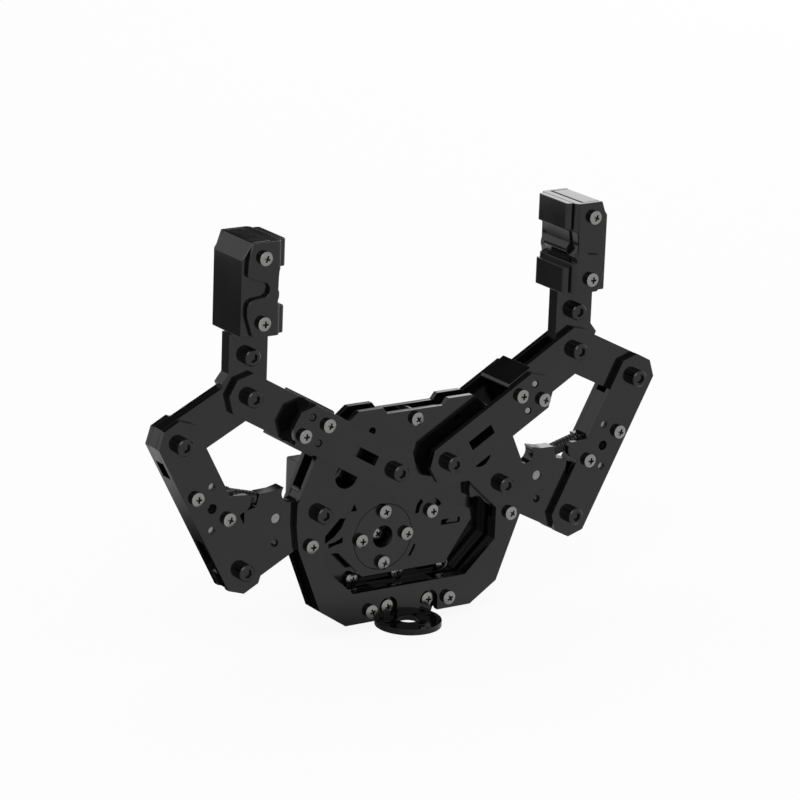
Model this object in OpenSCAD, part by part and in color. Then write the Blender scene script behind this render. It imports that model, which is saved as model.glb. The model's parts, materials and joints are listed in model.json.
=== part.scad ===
// Electric two-finger parallel gripper: plate-built four-bar arms driven by toothed cranks.
// Frame: origin at the centre of the wrist flange's lower face, +Z towards the fingertips,
// +X towards the right finger, -Y towards the front plate. All sizes in millimetres.

/* [Linkage] */
// Distance of each crank pivot from the centre line
crank_pivot_x = 43.6; // [43:0.1:44.5]
// Height of the crank pivots above the flange face
crank_pivot_z = 53.6; // [53.5:0.1:56]
// Distance of each upper link pivot from the centre line
upper_pivot_x = 12.9; // [12.4:0.1:13.6]
// Height of the upper link pivots above the crank pivots
upper_pivot_rise = 15.3; // [15:0.1:16]
// Pivot distance of the upper links
upper_link_len = 74.3; // [70:0.1:80]
// Angle of the open upper links above horizontal
open_angle = 30; // [29:0.5:32]
// Pivot distance of the cranks
crank_len = 39.8; // [38:0.1:42]
// Angle of the open cranks above horizontal
crank_angle = -27.5; // [-29:0.5:-26]
// Width of the link plates
link_w = 18; // [17:0.5:19]

/* [Plates] */
// Thickness of the body and link plates
plate_t = 2.5; // [2:0.1:3]
// Gap between the body plates, in which cranks and fingers run
core_gap = 6; // [5.6:0.1:6.6]
// Space between the body plates and the inner link plates
link_standoff = 4.5; // [4.4:0.1:6]
// Height of the body plates' top edge above the crank pivots
body_top = 40; // [39:0.5:42]
// Depth of the body plates' lower edge below the crank pivots
body_bottom = 49.7; // [49:0.1:52]
// Height of the window in the body plates
window_h = 40; // [39:0.5:41]
// Width of the window in the body plates
window_w = 82; // [80:0.5:83]
// Thickness of the gear cover
cover_t = 1.8; // [1.6:0.1:2]

/* [Gears] */
// Gear module
gear_module = 1.5; // [1.5]
// Teeth that a full crank gear would have
crank_teeth = 30; // [30]
// Teeth of the drive gear
drive_teeth = 18; // [18]
// Teeth of the idler gear
idler_teeth = 14; // [14]
// Thickness of the gears
gear_t = 2.3; // [2:0.1:2.5]
// Slope of the line from the left crank pivot down to the drive gear
drive_slope = 25.7; // [25.5:0.1:25.9]

/* [Fingers] */
// Height of the fingertip housing
tip_h = 37.5; // [36:0.5:42]
// Height of the housing's lower edge above the finger pivot
tip_rise = 26.1; // [24:0.1:30]
// Width of the fingertip housing
tip_w = 17; // [16:0.5:18]
// Depth of the fingertip housing
tip_d = 22; // [20:0.5:24]
// Thickness of the jaw clip's cheeks
cheek_t = 1.9; // [1.5:0.1:2.5]
// Thickness of the rubber pads
pad_t = 3; // [2:0.1:3.2]
// Height of each rubber pad
pad_h = 10.9; // [9:0.1:12]

/* [Fasteners] */
// Diameter of the pivot bolts
bolt_d = 4; // [3.8:0.1:4.2]
// Diameter of the pivot bolts' heads
bolt_head_d = 7; // [6.6:0.1:7.4]
// Height of the pivot bolts' heads
bolt_head_h = 4; // [3.4:0.1:4.2]
// Diameter of the small screws
screw_d = 3; // [2.5:0.1:3]
// Diameter of the small screws' pan heads
screw_head_d = 5.6; // [5:0.1:6]
// Height of the small screws' pan heads
screw_head_h = 2.5; // [1.8:0.1:2.8]

/* [Wrist] */
// Diameter of the wrist flange
flange_d = 27.4; // [27:0.1:30]
// Thickness of the wrist flange
flange_t = 2.5; // [2.2:0.1:2.8]
// Diameter of the flange's centre bore
flange_bore_d = 9; // [7:0.5:9.5]
// Bolt circle of the flange
flange_pcd = 20; // [19:0.5:20.5]
// Diameter of the flange's bolt holes
flange_hole_d = 2.7; // [2.6:0.1:2.9]

/* [Actuator] */
// Depth of the actuator casing behind the body
casing_d = 10; // [9:0.5:12]
// Diameter of the motor can
motor_d = 36; // [30:1:38]
// Length of the motor can
motor_len = 22; // [18:1:30]

/* [Hidden] */
$fn = 48;

// Clearances
run_gap = 0.05;       // between a pivot bolt and the bore that turns on it
slip_gap = 0.05;      // between a screw or fixed bolt and its hole
side_gap = 0.1;       // between plates that slide past each other
free_gap = 0.3;       // between parts that must never touch

// Layers from front to rear; the front plate's outer face is at y = 0
front_y = plate_t;                       // rear face of the front plate
core_y = front_y + core_gap / 2;         // middle of the gripper
rear_y = front_y + core_gap;             // front face of the rear plate
back_y = rear_y + plate_t;               // rear face of the rear plate
inner_y = -link_standoff;                // rear face of the front inner link plate
cover_y = front_y + 1.4;                 // front face of the gear cover
gear_y = cover_y + cover_t + 0.2;        // front face of the gears
casing_y = back_y + casing_d;            // rear face of the actuator casing

// Pivots of the right arm, as [x, z]
function toward(a, r) = [r * cos(a), r * sin(a)];
crank_pivot = [crank_pivot_x, crank_pivot_z];
upper_pivot = [upper_pivot_x, crank_pivot_z + upper_pivot_rise];
finger_pivot = upper_pivot + toward(open_angle, upper_link_len);
outer_pivot = crank_pivot + toward(open_angle, upper_link_len);
crank_end = crank_pivot + toward(crank_angle, crank_len);
function heading(p, q) = atan2(q[1] - p[1], q[0] - p[0]);
outer_link_angle = heading(crank_end, outer_pivot);
outer_link_len = norm(outer_pivot - crank_end);
bracket_angle = heading(outer_pivot, finger_pivot);
bracket_len = norm(finger_pivot - outer_pivot);
half_w = link_w / 2;
bolt_r = bolt_d / 2;
head_r = bolt_head_d / 2;
screw_r = screw_d / 2;
pan_r = screw_head_d / 2;

// Gear centres: the drive gear meshes with the left crank, the idler with it and the right crank
crank_gear_r = gear_module * crank_teeth / 2;
drive_r = gear_module * drive_teeth / 2;
idler_r = gear_module * idler_teeth / 2;
left_pivot = [-crank_pivot_x, crank_pivot_z];
drive_centre = left_pivot + toward(-drive_slope, crank_gear_r + drive_r);
// Upper crossing of the circles of radius ra about a and rb about b
function crossing(a, ra, b, rb) =
    let (d = norm(b - a), u = (b - a) / d, s = (ra * ra - rb * rb + d * d) / (2 * d),
         h = sqrt(ra * ra - s * s))
    a + s * u + h * [-u[1], u[0]];
idler_centre = crossing(drive_centre, drive_r + idler_r, crank_pivot, crank_gear_r + idler_r);

// Tooth phase of a gear that meshes with another, whose tooth stands at angle tooth_a
function mesh_phase(tooth_a, line, za, zb) =
    line + 180 + 360 / zb * (0.5 - (tooth_a - line) * za / 360);
right_line = heading(crank_pivot, idler_centre);
right_phase = right_line;
idler_phase = mesh_phase(right_phase, right_line, crank_teeth, idler_teeth);
drive_phase = mesh_phase(idler_phase, heading(idler_centre, drive_centre), idler_teeth, drive_teeth);
left_phase = mesh_phase(drive_phase, heading(drive_centre, left_pivot), drive_teeth, crank_teeth);
addendum = 0.8 * gear_module;
dedendum = 0.9 * gear_module;
backlash = 0.12;      // taken off each flank, measured along the pitch circle
sector_from = 124;    // angles of the toothed part of the right crank
sector_to = 213;

// Body outline, right half, from the bottom upwards, with z above the crank pivots
body_half = [[30, -body_bottom], [42.5, -41.5], [53.3, -14], [54.5, -4], [54.4, 5], [46, 24],
    [31.5, body_top - 3.5], [27, body_top], [15.5, body_top], [13.5, body_top - 2.6]];
window_top = 3.6;
window_bottom = window_top - window_h;
window_half = [[window_w / 2 - 14, window_bottom], [window_w / 2, window_bottom + 13.1],
    [window_w / 2, window_top - 13.5], [window_w / 2 - 3.8, window_top - 9.8],
    [window_w / 2 - 14, window_top]];
cover_right = [[19.5, window_bottom + 5.1], [26.2, -21.6], [31.6, -14.2], [30.6, -9.8], [24.4, -6.4],
    [25.2, 0.8], [24, 6], [24, 15], [18, 21]];
cover_left = [[-18, 21], [-24, 15], [-28.4, 5], [-28.2, 0], [-28.6, -4], [-31, -9], [-34.5, -12.4],
    [-40, -15.4], [-40, -18.6], [-32, -19.5], [-20.5, window_bottom + 5.1]];

// Screws of the body, as [x, z above the crank pivots]
side_screw = [47.7, -12.9];
foot_screw = [18.7, -44.8];
bracket_screw = [9.7, -44.6];
top_screw = [0, 33.7];
deep_screw_x = 21.75;
deep_screw_z = -34;
cover_posts = [[19, -25], [4, -28]];
post_r = 2.5;
stop_r = 3.2;         // radius of the spacer at each side screw, which stops the crank
pivot_spacer_r = 4.5;
hub_r = 13.6;         // radius of the drive gear's hub disc
hub_hole_r = 4.65;
hub_screw_pcd = 21.6;
horn_r = 12.6;
window_hole_r = 5.2;  // round hole beside the window
window_hole = [32, 14];

// Finger, in its own frame: u outwards from the finger's centre line, z above the finger pivot
finger_axis = finger_pivot[0];
stem_half = 8.7;
stem_bolt_z = 16.2;
tip_z0 = tip_rise;
tip_z1 = tip_rise + tip_h;
tongue_half = 5.4;
tongue_top = tip_z1 - 4;
jaw_wall_t = 3.5;
jaw_u0 = -tip_w / 2 + 0.2;
jaw_u1 = jaw_u0 + jaw_wall_t;
pad_screw_z = [tip_z0 + 5.6, tip_z1 - 6];
slot_z = tip_z0 + 18.7;
insert_z0 = tip_z0 + pad_h + 1.6;
insert_z1 = tip_z1 - pad_h - 1;

// Block on the upper link
block_at = 44.4;      // distance of its centre from the upper pivot
block_len = 13;
block_half = half_w + 1;
block_screw = 4;      // half the spacing of the four holes
inner_len = block_at + 1;

// Link spacer
spacer_from = 19.4;   // ends of the outer link's spacer, along the link
spacer_to = 51.4;
link_hole_u = 8;      // half spacings of the outer link's holes
link_hole_v = 4;

black = [0.03, 0.03, 0.032];
steel = [0.62, 0.62, 0.6];
dark_steel = [0.12, 0.12, 0.12];
rubber = [0.05, 0.05, 0.05];

// ---------- helpers ----------

// A flat piece drawn in x and z, from y0 to y0 + t
module slab(y0, t) {
    translate([0, y0 + t, 0]) rotate([90, 0, 0]) linear_extrude(t) children();
}
// A round bar along y at [x, z]
module rod(p, y0, y1, r) {
    translate([p[0], y1, p[1]]) rotate([90, 0, 0]) cylinder(h = y1 - y0, r = r);
}
// Moves a piece drawn along +x from the origin to point p, turned by angle a in the x-z plane
module along(p, a) {
    translate([p[0], 0, p[1]]) rotate([0, -a, 0]) children();
}
// The left half of the gripper is the mirror image of the right half
module side(s) {
    if (s > 0) children();
    else mirror([1, 0, 0]) children();
}
function mirrored(half) = concat(half, [for (i = [len(half) - 1:-1:0]) [-half[i][0], half[i][1]]]);
// Corners of a bar with octagonal ends, from the origin to [len, 0]
corner = tan(22.5);
function bar_points(len, w) = [[-w * corner, -w], [len + w * corner, -w], [len + w, -w * corner],
    [len + w, w * corner], [len + w * corner, w], [-w * corner, w], [-w, w * corner],
    [-w, -w * corner]];
// The same bar with a square far end
function open_bar_points(from, to, w) = [[from, -w], [to + w * corner, -w], [to + w, -w * corner],
    [to + w, w * corner], [to + w * corner, w], [from, w]];
// A hole through everything
module hole(p, r) {
    rod(p, -20, 60, r);
}
// Socket head bolt along +y, with the underside of its head at y = 0 and an optional nut
module cap_bolt(p, y, grip, nut = true) {
    difference() {
        union() {
            rod(p, y - bolt_head_h, y, head_r);
            rod(p, y - 0.01, y + grip + (nut ? 3.6 : 0), bolt_r);
        }
        translate([p[0], y - bolt_head_h + 2, p[1]]) rotate([90, 0, 0])
            cylinder(h = 3, r = 1.75, $fn = 6);
    }
    if (nut) difference() {
        translate([p[0], y + grip + 3.2, p[1]]) rotate([90, 0, 0]) cylinder(h = 3.2, r = 4, $fn = 6);
        rod(p, y + grip - 1, y + grip + 5, bolt_r);
    }
}
// Pan head screw along +y, with the underside of its head at y
module pan_screw(p, y, len, r = screw_r) {
    translate([p[0], y, p[1]]) rotate([90, 0, 0]) difference() {
        union() {
            translate([0, 0, -len]) cylinder(h = len, r = r);
            rotate_extrude() polygon([[0, 0], [pan_r, 0], [pan_r, screw_head_h * 0.45],
                [pan_r * 0.85, screw_head_h * 0.85], [pan_r * 0.55, screw_head_h], [0, screw_head_h]]);
        }
        for (a = [0, 90]) rotate([0, 0, a + 20])
            translate([-1.6, -0.3, screw_head_h - 0.9]) cube([3.2, 0.6, 2]);
    }
}

// ---------- gears ----------

function inv(a) = tan(a) * 180 / PI - a;
pressure = 20;
// Half the angle of a tooth at radius r, for a gear of z teeth
function half_tooth(z, r) =
    let (rp = gear_module * z / 2, rb = rp * cos(pressure))
    (90 - backlash * 180 / PI / gear_module * 2) / z + inv(pressure) - (r > rb ? inv(acos(rb / r)) : 0);
// Outline of one tooth about angle a
function tooth(z, a, root) =
    let (rp = gear_module * z / 2, tip = rp + addendum, rb = rp * cos(pressure),
         low = max(root, rb), rs = [for (i = [0:4]) low + (tip - low) * i / 4])
    concat([toward(a - half_tooth(z, low) - 0.5, root - 0.01)],
        [for (r = rs) toward(a - half_tooth(z, r), r)],
        [for (i = [4:-1:0]) toward(a + half_tooth(z, rs[i]), rs[i])],
        [toward(a + half_tooth(z, low) + 0.5, root - 0.01)]);
// Outline of the teeth from the first to the last, anticlockwise
function teeth(z, phase, first, last) =
    [for (i = [first:last]) for (p = tooth(z, phase + 360 / z * i, gear_module * z / 2 - dedendum)) p];
module round_gear(centre, z, phase) {
    translate([centre[0], 0, centre[1]]) slab(gear_y, gear_t) polygon(teeth(z, phase, 0, z - 1));
}

// ---------- body ----------

module body_outline(notched = true) {
    translate([0, crank_pivot_z]) difference() {
        polygon(mirrored(body_half));
        polygon(mirrored(window_half));
        if (notched) for (s = [-1, 1]) {
            translate([s * bracket_screw[0], bracket_screw[1]]) circle(r = 4.2);
            translate([s * bracket_screw[0] - 4.2, -body_bottom - 1])
                square([8.4, body_bottom + 1 + bracket_screw[1]]);
        }
    }
}
module body_holes() {
    for (s = [-1, 1]) {
        for (p = [crank_pivot, upper_pivot]) hole([s * p[0], p[1]], bolt_r + slip_gap);
        for (p = [side_screw, foot_screw]) hole([s * p[0], crank_pivot_z + p[1]], screw_r + slip_gap);
        hole([s * window_hole[0], crank_pivot_z + window_hole[1]], window_hole_r);
        hole([s * 20.5, crank_pivot_z + 31], 1.6);
    }
    hole([top_screw[0], crank_pivot_z + top_screw[1]], screw_r + slip_gap);
}
module front_body_plate() {
    color(black) difference() {
        slab(0, plate_t) body_outline();
        body_holes();
    }
}
module rear_body_plate() {
    color(black) difference() {
        slab(rear_y, plate_t) body_outline(false);
        body_holes();
        for (s = [-1, 1])
            hole([s * bracket_screw[0], crank_pivot_z + bracket_screw[1]], screw_r + slip_gap);
        for (x = [-deep_screw_x, 0, deep_screw_x])
            hole([x, crank_pivot_z + deep_screw_z], pan_r + free_gap);
    }
}
// Rim behind the front plate, below the cranks, open in the middle for the flange bracket
module rim_spacer() {
    rim_t = core_gap / 2;
    color(black) difference() {
        slab(front_y, rim_t) intersection() {
            body_outline();
            translate([0, crank_pivot_z]) polygon([for (s = [1, -1]) for (p = s > 0
                ? [[15, -60], [60, -60], [60, -17.5], [42.5, -16.6], [window_w / 2, -14.5],
                   [window_w / 2 - 6, -14.5], [15, window_bottom]]
                : [[15, window_bottom], [window_w / 2 - 6, -14.5], [window_w / 2, -14.5],
                   [42.5, -16.6], [60, -17.5], [60, -60], [15, -60]]) [s * p[0], p[1]]]);
        }
        translate([0, front_y - 1, crank_pivot_z]) translate([-14.8, 0, -60])
            cube([29.6, rim_t + 2, 60 + window_bottom]);
        for (s = [-1, 1]) {
            hole([s * side_screw[0], crank_pivot_z + side_screw[1]], stop_r + slip_gap);
            hole([s * foot_screw[0], crank_pivot_z + foot_screw[1]], screw_r + slip_gap);
        }
    }
}
module gear_cover() {
    color(black) difference() {
        slab(cover_y, cover_t) translate([0, crank_pivot_z]) difference() {
            polygon(concat(cover_right, cover_left));
            polygon([[16.8, -15], [26, -15], [26, -12.7], [16.8, -12.7]]);
            polygon([[-36.9, -16.9], [-34.3, -16], [-30.2, -15.3], [-30.2, -13], [-34, -14.6],
                [-36.9, -15]]);
            polygon([[-26.7, -2.8], [-23.8, -2.8], [-25.2, 0.2]]);
        }
        for (s = [-1, 1]) hole([s * upper_pivot[0], upper_pivot[1]], bolt_r + slip_gap);
        rod(drive_centre, 0, 20, hub_r + 0.2);
        rod(idler_centre, 0, 20, screw_r + slip_gap);
        arc_slot(idler_centre, 5.6, 7.4, 132, 182);
        arc_slot(idler_centre, 3.4, 5.4, 20, 70);
        arc_slot(drive_centre, 16, 17, -38, -20);
    }
}
// Slot along an arc about p, cut through the cover
module arc_slot(p, r0, r1, a0, a1) {
    steps = 8;
    slab(cover_y - 1, cover_t + 2) translate(p) polygon(concat(
        [for (i = [0:steps]) toward(a0 + (a1 - a0) * i / steps, r1)],
        [for (i = [steps:-1:0]) toward(a0 + (a1 - a0) * i / steps, r0)]));
}
// Spacers that hold the plates apart, and the posts that carry the gear cover
module plate_spacers() {
    color(black) {
        for (s = [-1, 1]) {
            spacer([s * upper_pivot[0], upper_pivot[1]], front_y, cover_y, pivot_spacer_r, bolt_r);
            spacer([s * upper_pivot[0], upper_pivot[1]], cover_y + cover_t, rear_y, pivot_spacer_r,
                bolt_r);
            spacer([s * side_screw[0], crank_pivot_z + side_screw[1]], front_y, rear_y, stop_r,
                screw_r);
            spacer([s * foot_screw[0], crank_pivot_z + foot_screw[1]], front_y + core_gap / 2, rear_y,
                stop_r, screw_r);
        }
        spacer([top_screw[0], crank_pivot_z + top_screw[1]], front_y, rear_y, stop_r, screw_r);
        for (p = cover_posts) rod([p[0], crank_pivot_z + p[1]], cover_y + cover_t, back_y, post_r);
    }
}
module spacer(p, y0, y1, r, bore) {
    difference() {
        rod(p, y0, y1, r);
        rod(p, y0 - 1, y1 + 1, bore + slip_gap);
    }
}
module body_screws() {
    color(steel) {
        for (s = [-1, 1]) {
            for (p = [side_screw, foot_screw])
                pan_screw([s * p[0], crank_pivot_z + p[1]], 0, back_y);
        }
        pan_screw([top_screw[0], crank_pivot_z + top_screw[1]], 0, back_y);
        for (x = [-deep_screw_x, 0, deep_screw_x])
            pan_screw([x, crank_pivot_z + deep_screw_z], back_y, casing_d - 2);
    }
}
module crank_bolts() {
    color(dark_steel) for (s = [-1, 1])
        cap_bolt([s * crank_pivot[0], crank_pivot[1]], 0, back_y + 5, false);
}
module upper_pivot_bolts() {
    grip = 2 * link_standoff + 4 * plate_t + core_gap + 2 * side_gap;
    color(dark_steel) for (s = [-1, 1])
        cap_bolt([s * upper_pivot[0], upper_pivot[1]], inner_y - plate_t - side_gap, grip);
}
module upper_pivot_spacers() {
    color(dark_steel) for (s = [-1, 1]) {
        p = [s * upper_pivot[0], upper_pivot[1]];
        spacer(p, inner_y + side_gap, 0, pivot_spacer_r, bolt_r);
        spacer(p, back_y, back_y + link_standoff - side_gap, pivot_spacer_r, bolt_r);
    }
}

// ---------- wrist ----------

// Bracket between the plates, on the rear plate; its two legs stand on the flange
leg_half = 12.6;
leg_gap_half = 5.5;
leg_screw_y = core_y + 0.5;
module flange_bracket() {
    top = crank_pivot_z + window_bottom - 0.8;
    color(black) difference() {
        slab(front_y, core_gap) polygon(mirrored([[leg_gap_half, crank_pivot_z - body_bottom + 1],
            [leg_gap_half, flange_t], [leg_half, flange_t], [14, flange_t + 4], [14, top]]));
        for (s = [-1, 1]) {
            hole([s * bracket_screw[0], crank_pivot_z + bracket_screw[1]], screw_r + slip_gap);
            translate([s * leg_screw_x, leg_screw_y, 0])
                cylinder(h = flange_t + 4, r = 1.25 + slip_gap);
        }
    }
}
leg_screw_x = 6.2;
leg_screw_head = 1.6;
module wrist_flange() {
    color(black) difference() {
        cylinder(h = flange_t, d = flange_d, $fn = 96);
        translate([0, 0, -1]) cylinder(h = flange_t + 2, d = flange_bore_d);
        for (a = [0:90:270]) rotate([0, 0, a]) translate([flange_pcd / 2, 0, -1])
            cylinder(h = flange_t + 2, d = flange_hole_d);
        for (s = [-1, 1]) translate([s * leg_screw_x, leg_screw_y, 0]) {
            translate([0, 0, -1]) cylinder(h = flange_t + 2, r = 1.25 + slip_gap);
            translate([0, 0, -1]) cylinder(h = leg_screw_head + 1.1, r = 2.3);
        }
    }
}
// Two screws through the bracket into the rear plate, and two sunk in the flange from below
module flange_screws() {
    color(steel) for (s = [-1, 1]) {
        pan_screw([s * bracket_screw[0], crank_pivot_z + bracket_screw[1]], front_y,
            core_gap + plate_t);
        translate([s * leg_screw_x, leg_screw_y, 0.1]) difference() {
            union() {
                cylinder(h = leg_screw_head, r = 2.2);
                cylinder(h = flange_t + 3, r = 1.25);
            }
            translate([0, 0, -1]) cylinder(h = 1.9, r = 0.9, $fn = 6);
        }
    }
}

// ---------- actuator ----------

casing_top = 18.5;
casing_half_w = crank_pivot_x + 3.4;
casing_foot = casing_half_w - 11;
casing_low = -38;
// The casing's top dips below the rear inner links, parallel to their lower edges
notch_gap = 1.6;
function under_link(x) = upper_pivot_rise + (x - upper_pivot_x) * tan(open_angle)
    - (half_w + notch_gap) / cos(open_angle);
notch_floor = upper_pivot_rise - half_w / cos(22.5) - notch_gap;
notch_x = upper_pivot_x + (notch_floor - under_link(upper_pivot_x)) / tan(open_angle);
notch_out = upper_pivot_x + (casing_top - under_link(upper_pivot_x)) / tan(open_angle);
casing_outline = [[casing_foot, casing_low], [casing_half_w, -20], [casing_half_w, casing_top],
    [notch_out, casing_top], [notch_x, notch_floor]];
module actuator_casing() {
    color(black) difference() {
        slab(back_y, casing_d) translate([0, crank_pivot_z]) polygon(mirrored(casing_outline));
        rod(drive_centre, back_y - 1, casing_y + 1, horn_r + free_gap);
        for (x = [-deep_screw_x, 0, deep_screw_x])
            rod([x, crank_pivot_z + deep_screw_z], back_y - 1, casing_y - 1, screw_r + slip_gap);
        for (s = [-1, 1]) {
            rod([s * crank_pivot[0], crank_pivot[1]], back_y - 1, back_y + 6, bolt_r + slip_gap);
            rod([s * upper_pivot[0], upper_pivot[1]], back_y - 1, casing_y + 1, pivot_spacer_r + 1);
        }
        rod(idler_centre, back_y - 1, back_y + 4, 3 + slip_gap);
        for (p = cover_screws) rod(p, casing_y - 6, casing_y + 1, screw_r + slip_gap);
    }
}
cover_screws = [for (s = [-1, 1]) for (p = [[casing_half_w - 6, casing_top - 6.5],
    [casing_foot - 2, casing_low + 6]]) [s * p[0], p[1] + crank_pivot_z]];
actuator_cover_t = 2;
module actuator_cover() {
    inset = 1;
    color(black) difference() {
        slab(casing_y, actuator_cover_t) translate([0, crank_pivot_z]) polygon(mirrored([
            [casing_foot - inset / 2, casing_low + inset], [casing_half_w - inset, -20 + inset / 2],
            [casing_half_w - inset, casing_top - inset], [notch_out + inset * 2, casing_top - inset],
            [notch_x + inset / 2, notch_floor - inset]]));
        rod(drive_centre, casing_y - 1, casing_y + 5, 9);
        for (p = cover_screws) rod(p, casing_y - 1, casing_y + 5, screw_r + slip_gap);
    }
}
module actuator_screws() {
    color(steel) translate([0, casing_y + actuator_cover_t, 0]) mirror([0, 1, 0])
        for (p = cover_screws) pan_screw(p, 0, 6);
}
module motor_can() {
    y0 = casing_y + actuator_cover_t;
    color(dark_steel) {
        translate([drive_centre[0], y0, drive_centre[1]]) rotate([-90, 0, 0]) rotate_extrude($fn = 96)
            polygon([[0, 0], [motor_d / 2, 0], [motor_d / 2, motor_len - 1.5],
                [motor_d / 2 - 1.5, motor_len], [6, motor_len], [6, motor_len + 2],
                [0, motor_len + 2]]);
        rod(drive_centre, back_y + 4, y0, 8.7);
    }
}

// ---------- gear train ----------

idler_axle_r = 3;
module idler_axle() {
    color(steel) {
        rod(idler_centre, cover_y + cover_t, back_y + 3.5, idler_axle_r);
        pan_screw(idler_centre, cover_y, cover_t);
    }
}
module idler_gear() {
    color(dark_steel) difference() {
        round_gear(idler_centre, idler_teeth, idler_phase);
        rod(idler_centre, 0, 30, idler_axle_r + run_gap);
        for (a = [0:72:288]) along(idler_centre, a + 10) translate([6, 0, 0]) rod([0, 0], 0, 30, 1.3);
    }
}
module drive_gear() {
    color(dark_steel) difference() {
        union() {
            round_gear(drive_centre, drive_teeth, drive_phase);
            rod(drive_centre, cover_y, gear_y, hub_r);
        }
        rod(drive_centre, 0, 30, hub_hole_r);
        for (p = hub_screws_at) rod(p, 0, 30, 1.25 + slip_gap);
    }
}
hub_screws_at = [for (a = [0:90:270]) drive_centre + toward(a, hub_screw_pcd / 2)];
module hub_screws() {
    color(steel) {
        for (p = hub_screws_at) pan_screw(p, cover_y, gear_y + gear_t - cover_y + 2, 1.25);
        pan_screw(drive_centre, back_y - horn_rise, 3.8 + horn_rise);
    }
}
horn_rise = 1.2;      // height of the horn's screw seat above the rear plate's outer face
module output_horn() {
    horn_y = gear_y + gear_t;
    color(dark_steel) difference() {
        rod(drive_centre, horn_y, back_y + 3.9, horn_r);
        rod(drive_centre, horn_y - 1, back_y - horn_rise, hub_hole_r);
        rod(drive_centre, horn_y - 1, back_y + 5, screw_r + slip_gap);
        for (p = hub_screws_at) rod(p, horn_y - 1, horn_y + 2.3, 1.25 + slip_gap);
    }
}

// ---------- crank and outer link ----------

hub_disc_r = 10;
// Outline of the crank, drawn about its pivot: arm, spring lobe and hub
lobe_end = crank_len - 6.2;
crank_lobe = [[0, 0], [4, 9.2], [9, 11.5], [16.3, 12.6], [lobe_end - 13, 11.6],
    [lobe_end - 6.6, 11.4], [lobe_end - 5.2, 6.2], [lobe_end, 5.2], [lobe_end, -4],
    [lobe_end - 3.6, -8], [20, -12]];
hub_lobe = [[-6, 5], [-13.6, 4], [-14.5, -0.8], [-14, -4.4], [-9.8, -5.8], [-6, -6]];
crank_pin = [19, 0];
crank_pin_r = 2;
notch_at = [12.6, 10];
notch_r = 4;
// Sweep of the stop spacer past the crank, seen from the crank
stop_rel = side_screw - [crank_pivot_x, 0];
stop_radius = norm(stop_rel);
stop_angle = atan2(stop_rel[1], stop_rel[0]) + 360;
close_angle = 61;
module crank(phase) {
    pitch = 360 / crank_teeth;
    first = ceil((sector_from - phase) / pitch);
    last = floor((sector_to - phase) / pitch);
    clear_r = stop_r + free_gap;
    color(black) difference() {
        union() {
            slab(front_y + side_gap, core_gap - 2 * side_gap) {
                circle(r = hub_disc_r);
                polygon(hub_lobe);
                rotate(crank_angle) polygon(bar_points(crank_len, half_w - 0.5));
                polygon(crank_lobe);
            }
            slab(gear_y, gear_t)
                polygon(concat([[0, 0]], teeth(crank_teeth, phase, first, last)));
        }
        hole([0, 0], bolt_r + run_gap);
        hole(toward(crank_angle, crank_len), bolt_r + slip_gap);
        hole(crank_pin, crank_pin_r + slip_gap);
        hole([19.3, -10.1], 1.6);
        hole(notch_at, notch_r);
        for (a = [0:6:72]) hole(toward(stop_angle - a, stop_radius), clear_r);
    }
}
module right_crank() {
    translate([crank_pivot[0], 0, crank_pivot[1]]) crank(right_phase);
}
module left_crank() {
    translate([left_pivot[0], 0, left_pivot[1]]) mirror([1, 0, 0]) crank(180 - left_phase);
}
// Lobe that hides the spring's end, on the front outer link: along the link and inwards from it
link_lobe = [[31.2, half_w], [27, 15.7], [25.2, 16.3], [23.4, 15.7], [22.2, 14.6], [21.5, 13],
    [21.6, half_w]];
function lobed_points(len, w) = let (p = bar_points(len, w))
    concat([for (i = [0:4]) p[i]], link_lobe, [for (i = [5:7]) p[i]]);
module outer_link(y0, lobed) {
    color(black) difference() {
        along(crank_end, outer_link_angle) slab(y0, plate_t) polygon(lobed
            ? lobed_points(outer_link_len, half_w) : bar_points(outer_link_len, half_w));
        outer_link_holes();
    }
}
module outer_link_holes() {
    hole(crank_end, bolt_r + slip_gap);
    hole(outer_pivot, bolt_r + slip_gap);
    along(crank_end, outer_link_angle) for (u = [-1, 1]) for (v = [-1, 1])
        hole([outer_link_len / 2 + u * link_hole_u, v * link_hole_v], screw_r + slip_gap);
    along(crank_end, outer_link_angle) hole([outer_link_len / 2, 0], 2);
}
module outer_link_spacer() {
    color(black) difference() {
        along(crank_end, outer_link_angle) slab(front_y, core_gap)
            polygon(concat([[spacer_from, -half_w], [spacer_to, -half_w], [spacer_to, half_w]],
                spring_shelf, [[spacer_from, half_w]]));
        slab(0, back_y) translate(outer_pivot) rotate(bracket_angle)
            polygon(bar_points(bracket_len, half_w + free_gap));
        along(spring_seat, spring_angle) translate([0, core_y, 0]) rotate([0, 90, 0])
            cylinder(h = spring_len + 0.04, r = spring_r + 0.1);
        outer_link_holes();
    }
}
spring_r = 2.8;
spring_wire = 0.8;
spring_angle = 15;
spring_len = 11.8;
spring_seat = crank_pivot + [crank_len - 11.9, 9.05];
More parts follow.
